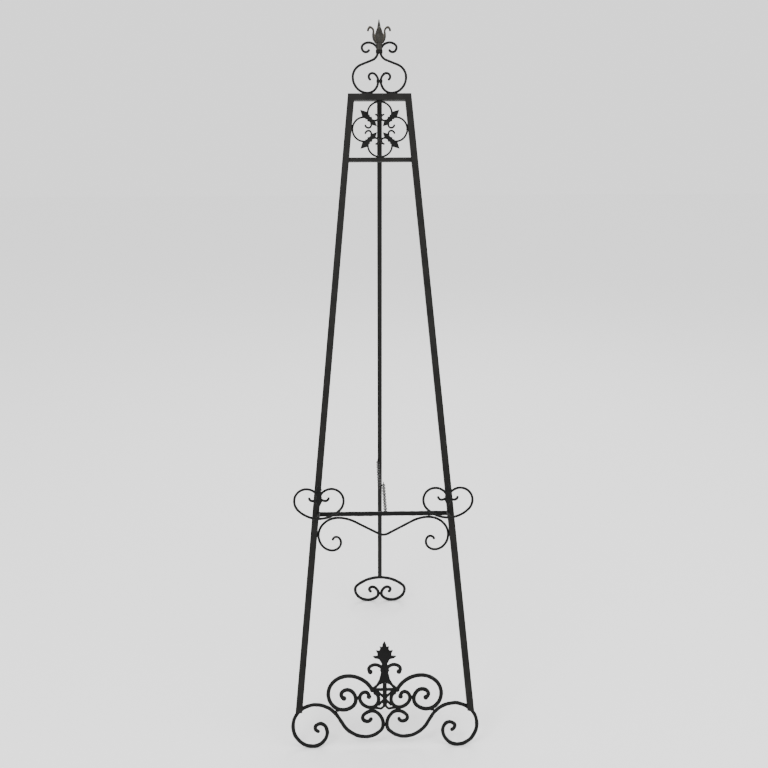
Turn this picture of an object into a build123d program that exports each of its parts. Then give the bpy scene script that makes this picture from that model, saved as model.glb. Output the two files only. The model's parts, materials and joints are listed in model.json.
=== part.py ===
from build123d import *
import os
from math import sin, cos, atan2, radians, degrees, hypot, sqrt

# A folding display easel in wrought iron. The front frame stands on two base scrolls and leans
# back; a single back leg hinges on the top bar and a chain limits how far it swings out.
# Front frame pieces are drawn upright (X across, -Y to the front, Z along the frame) and then
# leaned back about the X axis. All sizes are in millimetres.

LEAN = 18.0                  # lean of the front frame from the vertical, degrees
LEG_TUBE = 16.0              # square tube of the two front legs and the top bar
BACK_TUBE = 12.0             # square tube of the back leg
TUBE_WALL = 1.5
THIN_BAR = 10.0              # square bar of the panel bar and the shelf bar
TOP_BAR_HEIGHT = 1559.0      # heights of bar centres along the frame
PANEL_BAR_HEIGHT = 1409.0
SHELF_BAR_HEIGHT = 560.0
LEG_END_HEIGHT = 86.0        # where the legs are welded to the base scrolls
LEG_SPACING_TOP = 68.7       # half spacing of the leg centres at the top bar
LEG_SLOPE = 0.0932           # sideways spread of a leg for each unit of height
BASE_ROD = 8.8               # rod diameters
CREST_ROD = 6.0
PANEL_ROD = 4.6
HEART_ROD = 6.0
MEDALLION_ROD = 9.6
HEART_FORWARD = 48.0         # how far the hearts stand in front of the frame
HEART_CENTRE = 152.0
HEART_HEIGHT = 555.0
STRUT_SIDE = 154.0
STRUT_ROD = 7.0
PANEL_CENTRE = 1482.5
HINGE_HEIGHT = 1562.0
HINGE_BACK = 20.0            # hinge axis behind the frame's middle plane
HINGE_PIN = 6.0
PIN_CLEARANCE = 0.05
BACK_LEG_ANGLE = 7.65        # back leg from the vertical when open, degrees
CHAIN_EYE_ON_LEG = 1003.0     # distance of the rear chain eye from the hinge
CHAIN_WIRE = 2.5
CHAIN_LINK_WIDTH = 9.0
CHAIN_PITCH = 11.8
CHAIN_SIDE = 5.8             # each half of the chain lies this far to its side
FLOOR_FLAT = 0.5             # depth of the flats worn where rods touch the floor
LEFT, RIGHT = -1, 1


def quarter(ahead, aside):
    """Two tangent arcs that turn 90 degrees while moving ahead and aside by these distances."""
    across = abs(aside)
    near, far = sin(radians(45)), 1 - sin(radians(45))
    spread = near * near - far * far
    first = (near * ahead - far * across) / spread
    second = (near * across - far * ahead) / spread
    turn = 45 if aside > 0 else -45
    return [(first, turn), (second, turn)]


def s_bend(ahead, aside, angle, share):
    """An arc, a straight and an opposite arc that end in the starting direction."""
    across, a = abs(aside), radians(angle)
    determinant = sin(a) * sin(a) - (1 - cos(a)) * cos(a)
    radius_sum = (ahead * sin(a) - across * cos(a)) / determinant
    straight = (across * sin(a) - ahead * (1 - cos(a))) / determinant
    turn = angle if aside > 0 else -angle
    return [(radius_sum * share, turn), (straight, 0), (radius_sum * (1 - share), -turn)]


def bend_line(start, heading, bends, side=RIGHT):
    """Edges of a bent rod's centre line in the XZ plane; each bend is (radius, turn)."""
    x, z, h = start[0], start[1], radians(heading)
    edges = []
    for radius, turn in bends:
        t = radians(turn)
        if turn == 0:
            nx, nz = x + radius * cos(h), z + radius * sin(h)
            edges.append(Line((side * x, 0, z), (side * nx, 0, nz)))
        else:
            half, full = radius * 2 * sin(abs(t) / 4), radius * 2 * sin(abs(t) / 2)
            mx, mz = x + half * cos(h + t / 4), z + half * sin(h + t / 4)
            nx, nz = x + full * cos(h + t / 2), z + full * sin(h + t / 2)
            edges.append(ThreePointArc((side * x, 0, z), (side * mx, 0, mz), (side * nx, 0, nz)))
            h += t
        x, z = nx, nz
    return edges


def rod(edges, diameter, tip=None):
    """A round rod along joined edges, with rounded or ball-shaped tips."""
    path = Wire(edges)
    section = Plane(origin=path @ 0, z_dir=path % 0) * Circle(diameter / 2)
    bar = sweep(section, path=path)
    for end in (path @ 0, path @ 1):
        bar = bar + Pos(*end) * Sphere((tip or diameter) / 2)
    return bar


def joined(back, forward):
    """Edges of one rod that runs both ways from a middle point."""
    return list(reversed(back)) + forward


def leg_side(height):
    return LEG_SPACING_TOP + (TOP_BAR_HEIGHT - height) * LEG_SLOPE


# --- front legs and bars -------------------------------------------------------------------
def front_leg(side):
    top = TOP_BAR_HEIGHT + LEG_TUBE / 2
    low, high = (leg_side(LEG_END_HEIGHT), LEG_END_HEIGHT), (leg_side(top), top)
    across = LEG_TUBE / 2 * sqrt(1 + LEG_SLOPE ** 2)
    walls = []
    for inset, depth in ((0, LEG_TUBE), (TUBE_WALL, LEG_TUBE - 2 * TUBE_WALL)):
        w = across - inset
        outline = [(side * (low[0] - w), 0, low[1]), (side * (low[0] + w), 0, low[1]),
                   (side * (high[0] + w), 0, high[1]), (side * (high[0] - w), 0, high[1])]
        walls.append(extrude(make_face(Polyline(*outline, close=True)), depth / 2, (0, 1, 0), both=True))
    return walls[0] - walls[1]


def cross_bar(height, size):
    """A bar between the two legs, cut to their slope."""
    low, high = height - size / 2, height + size / 2
    inset = LEG_TUBE / 2 * sqrt(1 + LEG_SLOPE ** 2)
    outline = [(-leg_side(low) + inset, 0, low), (leg_side(low) - inset, 0, low),
               (leg_side(high) - inset, 0, high), (-leg_side(high) + inset, 0, high)]
    return extrude(make_face(Polyline(*outline, close=True)), size / 2, (0, 1, 0), both=True)


# --- crest -----------------------------------------------------------------------------------
CREST_FOOT = TOP_BAR_HEIGHT + LEG_TUBE / 2 + CREST_ROD / 2 - 0.3
NECK = 99.0                  # height of the neck above the crest's foot


def crest_scroll(side):
    neck = (-3.2, CREST_FOOT + NECK)
    curl = quarter(22, 22) + quarter(16.5, 12) + quarter(11, 9.6) + [(8.5, 60)]
    heart = s_bend(61, 60.8, 68, 0.4) + quarter(38, 35.4) + quarter(25.4, 28.5)
    # the lower heart runs down from the neck, out, round and up to the lower collar
    heart += quarter(19, 14) + quarter(8.5, 8.5) + [(8.5, 50)]
    return rod(joined(bend_line(neck, 90, curl, -side), bend_line(neck, 270, bends_out(heart), -side)), CREST_ROD)


def bends_out(bends):
    """The crest's lower heart first bends outwards, to the rod's right."""
    return [(radius, -turn) for radius, turn in bends[:3]] + bends[3:]


def collar(width, depth, height, centre):
    return Pos(0, 0, centre) * fillet((Box(width, depth, height)).edges(), 1.2)


def finial_tulip(base):
    """Cup with four curled petals, turned from the socket upwards."""
    cup = Polyline((0, 0, 0), (8, 0, 0), (13.5, 0, 7), (15, 0, 16), (14, 0, 27), (12.5, 0, 33), (0, 0, 33), close=True)
    body = revolve(make_face(cup), Axis.Z)
    for turn in range(4):
        line = bend_line((12.5, 26), 88, [(10, -60), (7.5, -110)])
        path = Wire(line)
        width = 11.0 if turn % 2 == 0 else 10.0
        section = Plane(origin=path @ 0, x_dir=(0, 1, 0), z_dir=path % 0) * Rectangle(width, 3)
        body = body + Rot(0, 0, 90 * turn) * sweep(section, path=path)
    return Pos(0, 0, base) * body


# --- quatrefoil panel --------------------------------------------------------------------------
def panel_scroll(turn, reach):
    half = quarter(29, -27.4) + quarter(18, -17.7) + quarter(7.9, -6.7) + [(8, -75)]
    up = bend_line((-reach, 0), 90, half)
    down = bend_line((-reach, 0), 270, [(r, -a) for r, a in half])
    return Pos(0, 0, PANEL_CENTRE) * Rot(0, turn, 0) * rod(joined(up, down), PANEL_ROD)


def leaf(thickness=5.0):
    """Flat double-pointed leaf with barbs at its middle, its length along Z."""
    half = [(0, 28.3), (8.2, 13.5), (5.4, 11), (5.6, 4), (8, 0)]
    right = half + [(x, -z) for x, z in reversed(half[:-1])]
    outline = right + [(-x, z) for x, z in reversed(right[1:-1])]
    face = make_face(Polyline(*[(x, 0, z) for x, z in outline], close=True))
    return extrude(face, thickness / 2, (0, 1, 0), both=True)


# --- shelf hearts, struts and apron ------------------------------------------------------------
def heart_scroll():
    half = quarter(58, -42) + quarter(28, -28.5) + quarter(26.2, -20) + quarter(8, -11.8) + [(8, -75)]
    return rod(joined(bend_line((0, 0), 180, half), bend_line((0, 0), 180, half, -1)), HEART_ROD)


def shelf_strut(side):
    start = Vector(side * STRUT_SIDE, -LEG_TUBE / 2, HEART_HEIGHT + 9)
    end = Vector(side * STRUT_SIDE, -HEART_FORWARD, HEART_HEIGHT + 1)
    direction = (end - start).normalized()
    return extrude(Plane(origin=start, z_dir=direction) * Circle(STRUT_ROD / 2), (end - start).length)


def apron_scroll():
    bottom = (0, 509.5)
    half = s_bend(109, -41.5, 27, 0.22) + quarter(46.5, 42) + quarter(36, 33) + quarter(20.6, 19)
    half += quarter(13.4, 11) + [(9, 70)]
    return rod(joined(bend_line(bottom, 180, half), bend_line(bottom, 180, half, -1)), HEART_ROD)


# --- base scrolls and medallion ----------------------------------------------------------------
def base_scroll(side):
    top = (-166.8, 103.5)
    outer = quarter(53.6, 49.9) + quarter(49.1, 46.6) + quarter(35.2, 34.3) + quarter(19.3, 16)
    outer += quarter(13, 9) + [(9.5, 75)]
    inner = s_bend(120.8, -78, 57.5, 0.5) + quarter(41.4, 28.4) + quarter(32.8, 25.5)
    inner += quarter(23.6, 16.1) + quarter(9, 11.5) + [(9, 70)]
    return rod(joined(bend_line(top, 180, outer, -side), bend_line(top, 0, inner, -side)), BASE_ROD)


def medallion_large_scroll(side):
    top = (-87.6, 171.3)
    spiral = quarter(48, 43.1) + quarter(37.8, 36.1) + quarter(29.9, 23.7) + quarter(24, 20.4)
    spiral += quarter(14.5, 11.4) + [(9.5, 70)]
    return rod(joined(bend_line(top, 180, spiral, -side), bend_line(top, 0, [(66, -61)], -side)), MEDALLION_ROD, 12)


def medallion_ring(side):
    left = (-60, 118.5)
    lower = quarter(23.2, 27) + quarter(18, 20) + [(20, 50)]
    upper = quarter(13.7, -12.7) + quarter(9.5, -11)
    return rod(joined(bend_line(left, 270, lower, -side), bend_line(left, 90, upper, -side)), 9.0, 12)


def flat_casting(points, thickness):
    """A plate from its right-hand outline, mirrored to the left."""
    outline = points + [(-x, z) for x, z in reversed(points) if x > 0]
    face = make_face(Polyline(*[(x, 0, z) for x, z in outline], close=True))
    return extrude(face, thickness / 2, (0, 1, 0), both=True)


def medallion_palmette():
    outline = [(0, 254), (4.5, 246), (5.5, 240), (11.5, 241), (10, 235), (13, 231), (20.5, 232), (17, 225),
               (17, 219), (28.5, 218), (23, 213), (13, 211), (6.5, 200), (8, 182), (13, 162), (20, 150), (29, 143), (24, 138), (12, 150), (0, 155)]
    casting = flat_casting(outline, 7)
    for side in (LEFT, RIGHT):
        arm = bend_line((5, 184), 90, quarter(13.5, -18) + quarter(15, -11) + [(7, -60)], side)
        casting = casting + rod(arm, 8.4, 12)
    return casting


def strap(x0, z0, x1, z1, width, thickness):
    length, angle = hypot(x1 - x0, z1 - z0), degrees(atan2(z1 - z0, x1 - x0))
    return Pos((x0 + x1) / 2, 0, (z0 + z1) / 2) * Rot(0, -angle, 0) * Box(length, thickness, width)


def medallion_strapwork():
    """Pierced lattice between the rings: upright, cross band, diagonals and lower cusps."""
    lattice = strap(0, 97, 0, 153, 10, 6.4) + strap(-26, 138, 26, 138, 6.5, 6)
    for side in (LEFT, RIGHT):
        lattice = lattice + strap(side * 22, 137, side * 2, 119, 5.5, 5)
        lattice = lattice + strap(side * 2, 114, side * 16, 100, 5.5, 5)
        lattice = lattice + strap(side * 27, 95, side * 8, 92, 5, 5) + strap(side * 9, 92, 0, 100, 5, 5)
    return lattice


# --- hinge ---------------------------------------------------------------------------------------
def hinge_bracket():
    """Two rounded ears on a small plate behind the top bar."""
    bar_back = LEG_TUBE / 2
    plate = Pos(0, bar_back + 1.5, TOP_BAR_HEIGHT) * Box(24, 3, 14)
    for side in (LEFT, RIGHT):
        ear = Box(3, HINGE_BACK - bar_back, 13) + Pos(0, (HINGE_BACK - bar_back) / 2, 0) * Rot(0, 90, 0) * Cylinder(6.5, 3)
        plate = plate + Pos(side * 8.5, (HINGE_BACK + bar_back) / 2, HINGE_HEIGHT) * ear
    hole = Pos(0, HINGE_BACK, HINGE_HEIGHT) * Rot(0, 90, 0) * Cylinder(HINGE_PIN / 2, 60)
    return plate - hole


def hinge_pin():
    shaft = Rot(0, 90, 0) * Cylinder(HINGE_PIN / 2, 28)
    head = Pos(-12, 0, 0) * Rot(0, 90, 0) * Cylinder(5, 4)
    return Pos(0, HINGE_BACK, HINGE_HEIGHT) * (shaft + head)


def hinge_nut():
    nut = extrude(Plane.YZ * RegularPolygon(5.6, 6), 4) - Rot(0, 90, 0) * Cylinder(HINGE_PIN / 2, 40)
    return Pos(10, HINGE_BACK, HINGE_HEIGHT) * nut


# --- back leg, drawn hanging below the hinge axis ---------------------------------------------------
FOOT_HEIGHT = 81.5           # rod centre to rod centre of the oval foot


def back_leg(length):
    low = -(length - FOOT_HEIGHT - BASE_ROD / 2 + 1)
    high = 6.5
    tube = Pos(0, 0, (low + high) / 2) * (Box(BACK_TUBE, BACK_TUBE, high - low)
                                          - Box(BACK_TUBE - 2 * TUBE_WALL, BACK_TUBE - 2 * TUBE_WALL, high - low))
    return tube - Rot(0, 90, 0) * Cylinder(HINGE_PIN / 2 + PIN_CLEARANCE, 30)


def back_foot(length):
    top = (0, FOOT_HEIGHT - length)
    half = quarter(74.2, 43.5) + quarter(38, 38.2) + quarter(31.4, 22) + quarter(25, 17.5) + quarter(9.5, 9) + [(8, 60)]
    return rod(joined(bend_line(top, 180, half), bend_line(top, 180, half, -1)), BASE_ROD)


def chain_eye():
    """A welded wire eye whose ring stands upright along Y."""
    return Rot(0, 90, 0) * Torus(5.0, 1.5)


def chain_link():
    """One link with its length along Y, lying flat."""
    bend = (CHAIN_LINK_WIDTH - CHAIN_WIRE) / 2
    straight = (CHAIN_PITCH + 0.3 + CHAIN_WIRE) / 2 - bend
    line = SlotOverall(2 * (straight + bend), 2 * bend, rotation=90).face().outer_wire()
    section = Plane(origin=line @ 0, z_dir=line % 0) * Circle(CHAIN_WIRE / 2)
    return sweep(section, path=line)


def chain_run(count, first_gap, direction):
    """Links in a straight row along Y from an eye at the origin."""
    flat = chain_link()
    links = []
    for i in range(count):
        place = Pos(0, direction * (first_gap + i * CHAIN_PITCH), 0)
        links.append(place * (flat if i % 2 == 0 else Rot(0, 90, 0) * flat))
    return Compound(children=links)


# --- assembly ----------------------------------------------------------------------------------------
parts = {}
for side, name in ((LEFT, "left"), (RIGHT, "right")):
    heart_place = Pos(side * HEART_CENTRE, -HEART_FORWARD, HEART_HEIGHT)
    parts["front_leg_" + name] = front_leg(side)
    parts["crest_scroll_" + name] = crest_scroll(side)
    parts["base_scroll_" + name] = base_scroll(side)
    parts["heart_scroll_" + name] = heart_place * heart_scroll()
    parts["heart_collar_" + name] = heart_place * collar(13, 6.8, 5, 50)
    parts["heart_leaf_" + name] = heart_place * Pos(0, 0, 54) * leaf(5.6)
    parts["shelf_strut_" + name] = shelf_strut(side)
    parts["medallion_scroll_" + name] = medallion_large_scroll(side)
    parts["medallion_ring_" + name] = medallion_ring(side)
    parts["panel_scroll_" + name] = panel_scroll(0 if side == LEFT else 180, 65.8)
    for level, level_name in ((1, "upper"), (-1, "lower")):
        diagonal = Pos(side * 27, 0, PANEL_CENTRE + level * 27) * Rot(0, 45 * side * level, 0)
        parts["panel_leaf_" + level_name + "_" + name] = diagonal * leaf()
parts["top_bar"] = cross_bar(TOP_BAR_HEIGHT, LEG_TUBE)
parts["panel_bar"] = cross_bar(PANEL_BAR_HEIGHT, THIN_BAR)
parts["shelf_bar"] = cross_bar(SHELF_BAR_HEIGHT, THIN_BAR)
parts["panel_scroll_top"] = panel_scroll(90, 66.3)
parts["panel_scroll_bottom"] = panel_scroll(270, 66.3)
parts["crest_lower_collar"] = collar(15, 8.5, 6, CREST_FOOT + 28)
parts["crest_upper_collar"] = collar(16.5, 10, 7.5, CREST_FOOT + NECK)
parts["finial_socket"] = Pos(0, 0, CREST_FOOT + NECK + 12.5) * Cylinder(7.4, 18)
parts["finial_tulip"] = finial_tulip(CREST_FOOT + NECK + 21)
parts["finial_spike"] = Pos(0, 0, CREST_FOOT + NECK + 63.5) * Cone(6, 1, 28)
parts["apron_scroll"] = apron_scroll()
parts["medallion_palmette"] = medallion_palmette()
parts["medallion_strapwork"] = medallion_strapwork()
parts["hinge_bracket"] = hinge_bracket()
parts["hinge_pin"] = hinge_pin()
parts["hinge_nut"] = hinge_nut()
front_eye = Vector(CHAIN_SIDE, THIN_BAR / 2 + 5, SHELF_BAR_HEIGHT)
parts["chain_front_eye"] = Pos(*front_eye) * chain_eye()

lean = Rot(-LEAN, 0, 0)
parts = {name: lean * shape for name, shape in parts.items()}


def leaned(point):
    a = radians(LEAN)
    return Vector(point.X, point.Y * cos(a) + point.Z * sin(a), point.Z * cos(a) - point.Y * sin(a))


hinge = leaned(Vector(0, HINGE_BACK, HINGE_HEIGHT))
foot_rod_height = BASE_ROD / 2 * cos(radians(LEAN))
leg_length = (hinge.Z - foot_rod_height) / cos(radians(BACK_LEG_ANGLE))
swing = Pos(*hinge) * Rot(BACK_LEG_ANGLE, 0, 0)
rear_eye_local = Vector(-CHAIN_SIDE, -BACK_TUBE / 2 - 5, -CHAIN_EYE_ON_LEG)
parts["back_leg"] = swing * back_leg(leg_length)
parts["back_foot"] = swing * back_foot(leg_length)
parts["chain_rear_eye"] = swing * (Pos(*rear_eye_local) * chain_eye())
b = radians(BACK_LEG_ANGLE)
rear_eye = Vector(rear_eye_local.X, hinge.Y + rear_eye_local.Y * cos(b) - rear_eye_local.Z * sin(b),
                  hinge.Z + rear_eye_local.Z * cos(b) + rear_eye_local.Y * sin(b))
front_eye = leaned(front_eye)
chain_span = hypot(rear_eye.Y - front_eye.Y, rear_eye.Z - front_eye.Z)
chain_drop = degrees(atan2(rear_eye.Z - front_eye.Z, rear_eye.Y - front_eye.Y))
FIRST_LINK = 9.0             # eye centre to the first link's centre
links_each = int((chain_span / 2 - FIRST_LINK) / CHAIN_PITCH) + 2
parts["chain_front_links"] = Pos(*front_eye) * Rot(chain_drop, 0, 0) * chain_run(links_each, FIRST_LINK, 1)
parts["chain_rear_links"] = Pos(*rear_eye) * Rot(chain_drop, 0, 0) * chain_run(links_each, FIRST_LINK, -1)

# the rods that stand on the floor have small flats, and the origin is below the box's middle
floor = Pos(0, 0, FLOOR_FLAT + foot_rod_height - BASE_ROD / 2 - 50) * Box(3000, 3000, 100)
for name in ("base_scroll_left", "base_scroll_right", "back_foot"):
    parts[name] = parts[name] - floor
boxes = [shape.bounding_box() for shape in parts.values()]
depth_middle = (min(box.min.Y for box in boxes) + max(box.max.Y for box in boxes)) / 2
to_origin = Vector(0, -depth_middle, -(FLOOR_FLAT + foot_rod_height - BASE_ROD / 2))
os.makedirs("parts", exist_ok=True)
for name, shape in parts.items():
    export_step(Pos(*to_origin) * shape, "parts/" + name + ".step")

for label, point in (("hinge", hinge), ("front chain eye", front_eye), ("rear chain eye", rear_eye),
                     ("foot contact", Vector(0, hinge.Y + leg_length * sin(b), 0))):
    print(label, [round(v, 2) for v in point + to_origin])
print("back leg length", round(leg_length, 1), "chain", round(chain_span, 1), round(chain_drop, 2), links_each)
print("shift", [round(v, 2) for v in to_origin])
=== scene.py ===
import json
import math

import bmesh
import bpy
from mathutils import Matrix, Vector, noise


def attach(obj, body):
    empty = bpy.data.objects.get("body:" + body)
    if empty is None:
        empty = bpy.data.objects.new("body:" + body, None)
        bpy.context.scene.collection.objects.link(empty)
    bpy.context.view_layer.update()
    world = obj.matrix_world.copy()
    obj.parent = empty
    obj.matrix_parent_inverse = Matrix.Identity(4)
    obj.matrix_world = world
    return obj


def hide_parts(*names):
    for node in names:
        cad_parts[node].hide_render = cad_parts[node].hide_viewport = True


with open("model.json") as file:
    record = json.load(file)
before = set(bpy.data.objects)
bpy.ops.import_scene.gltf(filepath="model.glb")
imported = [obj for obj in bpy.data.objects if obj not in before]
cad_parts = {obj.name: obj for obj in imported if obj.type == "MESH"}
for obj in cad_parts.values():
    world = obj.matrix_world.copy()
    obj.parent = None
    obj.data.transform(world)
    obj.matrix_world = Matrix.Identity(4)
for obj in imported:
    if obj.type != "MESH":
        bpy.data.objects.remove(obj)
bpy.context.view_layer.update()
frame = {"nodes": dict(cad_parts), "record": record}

# The front frame is drawn upright and leaned back about its foot. Places are in metres; the small
# measures of leaves, petals, dents and weld beads are in millimetres, and MM turns them into metres.
LEAN = math.radians(18.0)
FRAME_FOOT = Vector((0, -0.35062, -0.00028))
ACROSS = Vector((1, 0, 0))
UP_FRAME = Vector((0, math.sin(LEAN), math.cos(LEAN)))
FORWARD = Vector((0, -math.cos(LEAN), math.sin(LEAN)))
FRAME_TURN = Matrix((ACROSS, -FORWARD, UP_FRAME)).transposed().to_4x4()
MM = 0.001

PANEL_MIDDLE = 1.4825         # heights along the frame
HEART_LEAF_HEIGHT = 0.609
TULIP_FOOT = 1.6897
PANEL_LEAF_OFFSET = 0.027     # panel leaves sit this far across and up from the panel's middle
HEART_LEAF_SIDE = 0.152
HEART_LEAF_FORWARD = 0.0485
SIDES = ((-1, "left"), (1, "right"))


def on_frame(x, forward, height):
    """World point of a place given across, in front of and up along the leaned frame."""
    return FRAME_FOOT + ACROSS * x + FORWARD * forward + UP_FRAME * height


# --- materials -------------------------------------------------------------------------------
def iron(name, colour, worn_and_highlight_colour, roughness, wear_and_highlight, grain):
    """Coated iron: mottled colour, fine orange-peel grain, and high spots made paler as rubbed wear
    and painted highlight.
    """
    material = bpy.data.materials.new(name)
    material.use_nodes = True
    tree = material.node_tree
    shader = tree.nodes["Principled BSDF"]

    def add(kind, **constants):
        """A new node with constants on its sockets; an underscore in a name stands for a space."""
        node = tree.nodes.new("ShaderNode" + kind)
        for socket, value in constants.items():
            node.inputs[socket.replace("_", " ")].default_value = value
        return node

    def link(start, output, end, socket):
        tree.links.new(start.outputs[output], end.inputs[socket])

    def product(first, output):
        node = add("Math")
        node.operation = "MULTIPLY"
        link(first, output, node, 0)
        return node

    shader.inputs["Metallic"].default_value = 0.0
    shader.inputs["Specular IOR Level"].default_value = 0.1
    shader.inputs["Coat Weight"].default_value = 0.03
    shader.inputs["Coat Roughness"].default_value = 0.35

    place = add("TexCoord")
    mottle = add("TexNoise", Scale=38, Detail=6)
    peel = add("TexNoise", Scale=grain, Detail=3)
    broad = add("TexNoise", Scale=9, Detail=4)
    for pattern in (mottle, peel, broad):
        link(place, "Object", pattern, "Vector")

    # high spots are painted paler, unevenly: partly rubbed wear, partly painted highlight
    edge = add("MapRange", From_Min=0.52, From_Max=0.62)
    link(add("NewGeometry"), "Pointiness", edge, "Value")
    worn_and_highlit_spots = product(edge, "Result")
    link(mottle, "Fac", worn_and_highlit_spots, 1)
    amount = product(worn_and_highlit_spots, "Value")
    amount.inputs[1].default_value = wear_and_highlight

    tone = add("ValToRGB")
    dark, pale = tone.color_ramp.elements
    dark.position, pale.position = 0.3, 0.75
    dark.color = [channel * 0.7 for channel in colour] + [1]
    pale.color = [channel * 1.35 for channel in colour] + [1]
    link(mottle, "Fac", tone, "Fac")

    # the paler colour mixed in on the high spots is painted highlight as well as wear
    mix = add("Mix")
    mix.data_type = "RGBA"
    mix.inputs["B"].default_value = list(worn_and_highlight_colour) + [1]
    link(amount, "Value", mix, "Factor")
    link(tone, "Color", mix, "A")
    link(mix, "Result", shader, "Base Color")

    rough = add("MapRange", To_Min=roughness - 0.1, To_Max=roughness + 0.14)
    link(broad, "Fac", rough, "Value")
    link(rough, "Result", shader, "Roughness")

    bump = add("Bump", Strength=0.35, Distance=0.0004)
    link(peel, "Fac", bump, "Height")
    link(bump, "Normal", shader, "Normal")
    return material


# the second colour of each is the paler tone of its high spots: painted highlight as well as rubbed
# wear
black_iron = iron("black_powder_coat", (0.0030, 0.0030, 0.0029), (0.014, 0.0133, 0.0119),
                  roughness=0.46, wear_and_highlight=0.8, grain=900)
finial_iron = iron("finial_iron_worn_and_highlit", (0.022, 0.021, 0.018), (0.13, 0.108, 0.08),
                   roughness=0.48, wear_and_highlight=1.6, grain=700)
chain_steel = iron("blackened_chain_steel", (0.004, 0.004, 0.004), (0.025, 0.025, 0.025),
                   roughness=0.38, wear_and_highlight=1.0, grain=1200)


# --- shapes ------------------------------------------------------------------------------------
def linked(name, data):
    """A new object with this data, in the scene."""
    piece = bpy.data.objects.new(name, data)
    bpy.context.scene.collection.objects.link(piece)
    return piece


def finish_piece(piece, body, material, replaced=()):
    """Smooth shading, a material, the body it moves with and the nodes it replaces."""
    piece.data.materials.clear()
    piece.data.materials.append(material)
    for face in piece.data.polygons:
        face.use_smooth = True
    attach(piece, body)
    if replaced:
        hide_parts(*replaced)
    return piece


def frame_piece(name, mesh, material, replaced=()):
    """Turns a finished bmesh into a piece of the front frame."""
    data = bpy.data.meshes.new(name)
    mesh.to_mesh(data)
    mesh.free()
    return finish_piece(linked(name, data), "front_frame", material, replaced)


def tube_faces(mesh, rings):
    """Joins closed rings of vertices into a tube with both ends capped."""
    count = len(rings[0])
    for lower, upper in zip(rings, rings[1:]):
        for i in range(count):
            after = (i + 1) % count
            mesh.faces.new((lower[i], lower[after], upper[after], upper[i]))
    mesh.faces.new(list(reversed(rings[0])))
    mesh.faces.new(rings[-1])


def body_of_node(node):
    """The body that moves a CAD node."""
    bodies = frame["record"]["behaviour"]["bodies"]
    return next(body for body, nodes in bodies.items() if node in nodes)


def forged(node, voxel, dent, dent_size, smooth=2, material=black_iron, slot="black_iron"):
    """A hammered or cast skin over a CAD node: remeshed, softened and dented like forged iron."""
    source = frame["nodes"][node]
    piece = linked(node + "_forged", source.data.copy())
    remesh = piece.modifiers.new("skin", "REMESH")
    remesh.mode = "VOXEL"
    remesh.voxel_size = voxel * MM
    soften = piece.modifiers.new("soften", "SMOOTH")
    soften.iterations = smooth
    keep_size = piece.modifiers.new("keep_size", "SHRINKWRAP")
    keep_size.target = source
    keep_size.wrap_method = "NEAREST_SURFACEPOINT"
    pattern = bpy.data.textures.new(node + "_dents", "VORONOI")
    pattern.distance_metric = "DISTANCE_SQUARED"
    pattern.noise_scale = dent_size * MM
    dents = piece.modifiers.new("dents", "DISPLACE")
    dents.texture = pattern
    dents.strength = dent * MM
    dents.mid_level = 0.2
    evaluated = piece.evaluated_get(bpy.context.evaluated_depsgraph_get())
    piece.data = bpy.data.meshes.new_from_object(evaluated)
    piece.modifiers.clear()
    return finish_piece(piece, body_of_node(node), material, [node])


def table_value(table, place):
    """Straight-line value between the (place, value) pairs of a short table."""
    for (a, low), (b, high) in zip(table, table[1:]):
        if place <= b:
            return low + (high - low) * (place - a) / (b - a)
    return table[-1][1]


def leaf_relief(node, thickness, matrix, rows=150, columns=26):
    """A cast leaf: serrated outline, raised midrib and slanting veins on both faces."""
    low, high = DOUBLE_LEAF[0][0], DOUBLE_LEAF[-1][0]
    mesh = bmesh.new()
    rings = []
    for row in range(rows + 1):
        z = low + (high - low) * row / rows
        half = max(table_value(DOUBLE_LEAF, z), LEAF_TIP)
        fullness = min(1.0, half / 4)
        ring = []
        for column in range(2 * columns):
            front = column < columns
            t = -1 + 2 * column / columns if front else 1 - 2 * (column - columns) / columns
            rib = math.exp(-(t * half / RIB_WIDTH) ** 2) * RIB_HEIGHT
            vein = VEIN_HEIGHT * math.sin(9.0 * (z * 0.12 + abs(t) * half * 0.16)) * abs(t) ** 0.5
            bulge = math.sqrt(max(0.0, 1 - t * t)) * thickness / 2 * fullness
            y = bulge + (rib + vein) * fullness * (1 - t ** 4)
            ring.append(mesh.verts.new((t * half * MM, (-y if front else y) * MM, z * MM)))
        rings.append(ring)
    tube_faces(mesh, rings)
    mesh.transform(matrix)
    bmesh.ops.recalc_face_normals(mesh, faces=mesh.faces)
    return frame_piece(node + "_cast", mesh, black_iron, [node])


def frame_matrix(x, forward, height, turn=0.0):
    """Places a part drawn upright at a point of the frame, turned in the frame's own plane."""
    place = Matrix.Translation(on_frame(x, forward, height))
    return place @ FRAME_TURN @ Matrix.Rotation(turn, 4, "Y")


# outline of a double-pointed leaf: height along it and half width
HALF_LEAF = [(0, 5.6), (1.5, 5.4), (2.5, 7.9), (4.5, 7.0), (7.5, 5.3), (11, 5.0), (13.2, 8.2),
             (17, 6.2), (22.5, 3.4), (28.3, 0.1)]
DOUBLE_LEAF = [(-z, w) for z, w in reversed(HALF_LEAF[1:])] + HALF_LEAF
LEAF_TIP = 0.15               # least half width
RIB_HEIGHT, RIB_WIDTH = 0.9, 1.1
VEIN_HEIGHT = 0.38
PANEL_LEAF_THICKNESS, HEART_LEAF_THICKNESS = 4.2, 4.6


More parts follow.
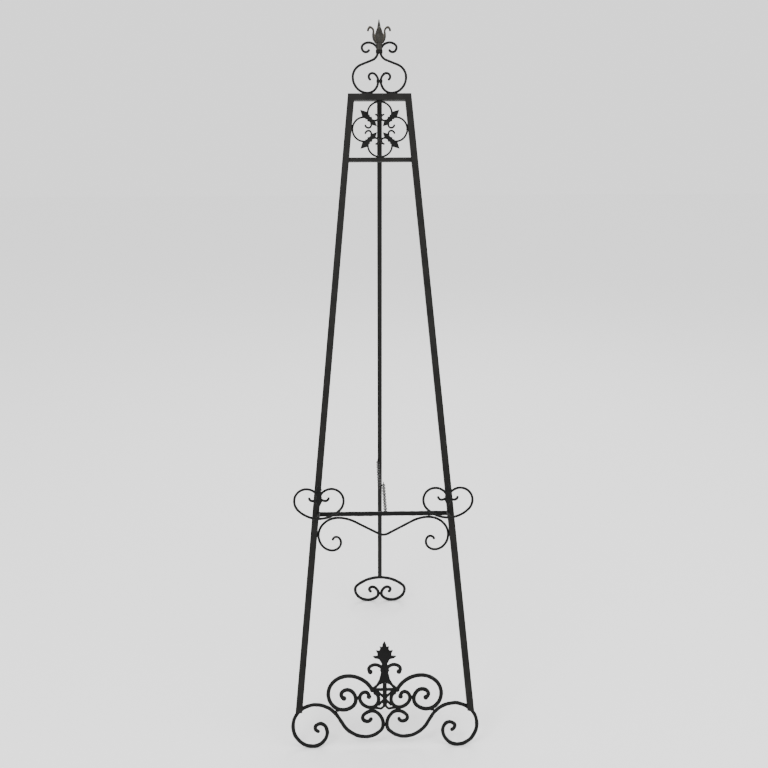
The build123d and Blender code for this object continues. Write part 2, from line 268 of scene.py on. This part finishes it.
# a petal from foot to curled tip: distance from the axis, height, and half spread in degrees
PETAL = [(5.5, -1, 50), (9, 1, 50), (13.2, 7, 49), (15, 14, 47), (15, 21, 44), (14, 27, 38),
         (14.5, 32, 30), (17, 36.2, 22), (20.5, 38, 17), (24, 36.8, 13), (26.4, 33, 9), (27, 28, 3)]
PETAL_STEPS = 6               # rings for each stretch of the petal
PETAL_COLUMNS = 14            # faces across each side of it
CUP_RADIUS = 15               # past this a petal's width is measured along it and not as an angle
SHORT_PETAL = 0.8             # height of the front and back petals, as a share of the side ones


def petal(mesh, number):
    """One of four petals: part of the cup, with a ribbed back and a tip that curls outwards."""
    turn = math.radians(90 * number)
    rings = []
    last = len(PETAL) - 2
    for i in range((last + 1) * PETAL_STEPS + 1):
        k = min(i // PETAL_STEPS, last)
        (low_r, low_z, low_spread), (high_r, high_z, high_spread) = PETAL[k], PETAL[k + 1]
        f = 1.0 if i == (last + 1) * PETAL_STEPS else (i % PETAL_STEPS) / PETAL_STEPS
        f = f * f * (3 - 2 * f) * 0.3 + f * 0.7
        r = low_r + (high_r - low_r) * f
        z = (low_z + (high_z - low_z) * f) * (1.0 if number % 2 == 0 else SHORT_PETAL)
        half = math.radians(low_spread + (high_spread - low_spread) * f)
        # the petal thickens as it leaves the cup and thins again towards its tip
        body = 1.25 + 1.5 * max(0.0, min(1.0, (k - 5) / 3)) * (1.0 if k < 9 else 0.6)
        slope = Vector((high_r - low_r, high_z - low_z)).normalized()
        width = half * min(r, CUP_RADIUS)
        ring = []
        for face, outwards in ((1, 1), (-1, 0.8)):
            for j in range(PETAL_COLUMNS + 1):
                t = (-1 + 2 * j / PETAL_COLUMNS) * face
                rib = 0.5 * math.exp(-(t * 4) ** 2) + 0.14 * math.cos(t * 15)
                thick = (body * (1 - t * t) ** 0.5 + rib * (1 - t * t)) * face
                angle = turn + t * width / max(r, 1)
                reach, height = r + slope.y * thick * outwards, z - slope.x * thick
                place = Vector((reach * math.cos(angle), reach * math.sin(angle), height))
                ring.append(mesh.verts.new(place * MM))
        rings.append(ring)
    tube_faces(mesh, rings)


def tulip():
    """The finial's cup, made of four petals."""
    mesh = bmesh.new()
    for number in range(4):
        petal(mesh, number)
    bmesh.ops.remove_doubles(mesh, verts=mesh.verts, dist=0.00001)
    mesh.transform(Matrix.Translation(on_frame(0, 0, TULIP_FOOT)) @ FRAME_TURN)
    bmesh.ops.recalc_face_normals(mesh, faces=mesh.faces)
    return frame_piece("finial_petals", mesh, finial_iron, ["finial_tulip"])


def weld_bead(mesh, centre, size, seed):
    """A lumpy weld bead: a ball with uneven ripples."""
    made = bmesh.ops.create_icosphere(mesh, subdivisions=4, radius=1.0)
    turn = FRAME_TURN.to_3x3()
    shift = Vector((seed, 0, 0))
    for vertex in made["verts"]:
        ripple = 0.16 * noise.noise(vertex.co * 2.3 + shift) + 0.07 * math.sin(vertex.co.x * 11)
        vertex.co = centre + turn @ (vertex.co * (1 + ripple) * size * MM)


# weld beads: distance across, forward and up the frame in metres, and size in millimetres
SIDE_WELDS = [(0.206, 0, 0.0885, 6.0),         # leg on base scroll
              (0.1545, 0.009, 0.5635, 4.4),    # strut on leg
              (0.1545, 0.046, 0.5565, 4.2),    # strut on heart
              (0.0286, 0, 1.5680, 4.0),        # crest scroll on top bar
              (0.0665, 0, PANEL_MIDDLE, 3.4),  # panel scroll on leg
              (0.1578, 0, 0.509, 3.8),         # apron scroll on leg
              (0.1130, 0, 0.0905, 5.2),        # base scroll on medallion scroll
              (0.0645, 0, 0.1185, 4.4),        # medallion scroll on its ring
              (0.0308, 0, 0.0910, 4.6)]        # ring on base scroll
MIDDLE_WELDS = [(0, 0, 0.054, 3.8),            # between the base scrolls
                (0, 0, 1.5512, 3.4),           # panel scroll on top bar
                (0, 0, 1.4138, 3.4)]           # panel scroll on panel bar


def weld_beads():
    """All the beads, as one piece."""
    mesh = bmesh.new()
    spots = [(side * x, *rest) for side, _ in SIDES for x, *rest in SIDE_WELDS] + MIDDLE_WELDS
    for number, (x, forward, height, size) in enumerate(spots):
        weld_bead(mesh, on_frame(x, forward, height), size, number * 3.1)
    return frame_piece("weld_beads", mesh, black_iron)


# how each node is forged: voxel size, depth of the dents, distance between them and, where it
# isn't 2, how often the skin is smoothed
FORGED_IN_PAIRS = {"base_scroll": (0.9, 1.1, 13), "crest_scroll": (0.7, 0.3, 11),
                   "heart_scroll": (0.7, 0.35, 12), "medallion_scroll": (0.9, 0.45, 10),
                   "medallion_ring": (0.9, 0.45, 9), "panel_scroll": (0.6, 0.2, 10),
                   "heart_collar": (0.5, 0.3, 5), "shelf_strut": (0.6, 0.4, 8)}
FORGED_ALONE = {"panel_scroll_top": (0.6, 0.2, 10), "panel_scroll_bottom": (0.6, 0.2, 10),
                "apron_scroll": (0.7, 0.4, 12), "back_foot": (0.9, 0.9, 13),
                "medallion_palmette": (0.7, 0.35, 6), "medallion_strapwork": (0.6, 0.4, 5),
                "shelf_bar": (1.0, 1.0, 14, 3),
                "crest_lower_collar": (0.5, 0.3, 5), "crest_upper_collar": (0.5, 0.3, 5)}
FORGED_IN_FINIAL = {"finial_socket": (0.6, 0.4, 5, 2), "finial_spike": (0.5, 0.3, 5, 2)}


def dress():
    """Puts the Blender pieces over the CAD and gives the nodes that still show their material."""
    for _, side in SIDES:
        for node, measures in FORGED_IN_PAIRS.items():
            forged(node + "_" + side, *measures)
    for node, measures in FORGED_ALONE.items():
        forged(node, *measures)
    for node, measures in FORGED_IN_FINIAL.items():
        forged(node, *measures, finial_iron, "finial_iron")
    for level, level_name in ((1, "upper"), (-1, "lower")):
        for side, name in SIDES:
            place = frame_matrix(side * PANEL_LEAF_OFFSET, 0, PANEL_MIDDLE + level * PANEL_LEAF_OFFSET,
                                 math.radians(45 * side * level))
            leaf_relief("panel_leaf_%s_%s" % (level_name, name), PANEL_LEAF_THICKNESS, place)
    for side, name in SIDES:
        place = frame_matrix(side * HEART_LEAF_SIDE, HEART_LEAF_FORWARD, HEART_LEAF_HEIGHT)
        leaf_relief("heart_leaf_" + name, HEART_LEAF_THICKNESS, place)
    tulip()
    weld_beads()
    for name, node in frame["nodes"].items():
        node.data.materials.clear()
        node.data.materials.append(chain_steel if name.endswith("_links") else black_iron)


dress()


# --- camera, light and floor ---------------------------------------------------------------------
LIGHTS = (("key", (-1.6, -2.6, 3.2), 1.6, 90),     # name, place, size and power
          ("fill", (2.4, -1.8, 2.2), 1.8, 45),
          ("rim", (0.6, 2.6, 3.0), 1.4, 40))
LIT_POINT = Vector((0, 0, 0.8))
FLOOR_REACH = 9


def studio():
    """A pale floor, an even white surround and three soft lights."""
    floor = bpy.data.meshes.new("floor")
    corners = [(x * FLOOR_REACH, y * FLOOR_REACH, 0) for x, y in ((-1, -1), (1, -1), (1, 1), (-1, 1))]
    floor.from_pydata(corners, [], [(0, 1, 2, 3)])
    plane = linked("floor", floor)
    pale = bpy.data.materials.new("pale_floor")
    pale.use_nodes = True
    surface = pale.node_tree.nodes["Principled BSDF"]
    surface.inputs["Base Color"].default_value = (0.96, 0.96, 0.96, 1)
    surface.inputs["Roughness"].default_value = 0.9
    floor.materials.append(pale)
    world = bpy.data.worlds.new("studio")
    bpy.context.scene.world = world
    world.use_nodes = True
    background = world.node_tree.nodes["Background"]
    background.inputs["Color"].default_value = (1, 1, 1, 1)
    background.inputs["Strength"].default_value = 1.5
    for name, place, size, power in LIGHTS:
        light = bpy.data.lights.new(name, "AREA")
        light.size, light.energy = size, power
        lamp = linked(name, light)
        lamp.location = place
        lamp.rotation_euler = (LIT_POINT - Vector(place)).to_track_quat("-Z", "Y").to_euler()


def camera():
    """Nearly square to the leaned frame, aimed a little above its middle, with a slight roll."""
    distance, seen_width, height, roll = 2.57, 1.843, 0.871, math.radians(0.5)
    aim, eye = on_frame(0.0046, 0, height), on_frame(-0.0480, distance, height)
    back = (eye - aim).normalized()
    level = UP_FRAME.cross(back).normalized()
    right = level * math.cos(roll) - UP_FRAME * math.sin(roll)
    turned = Matrix((right, back.cross(right), back)).transposed().to_4x4()
    data = bpy.data.cameras.new("camera")
    data.angle = 2 * math.atan(seen_width / 2 / distance)
    eye_object = linked("camera", data)
    eye_object.matrix_world = Matrix.Translation(eye) @ turned
    bpy.context.scene.camera = eye_object


studio()
camera()
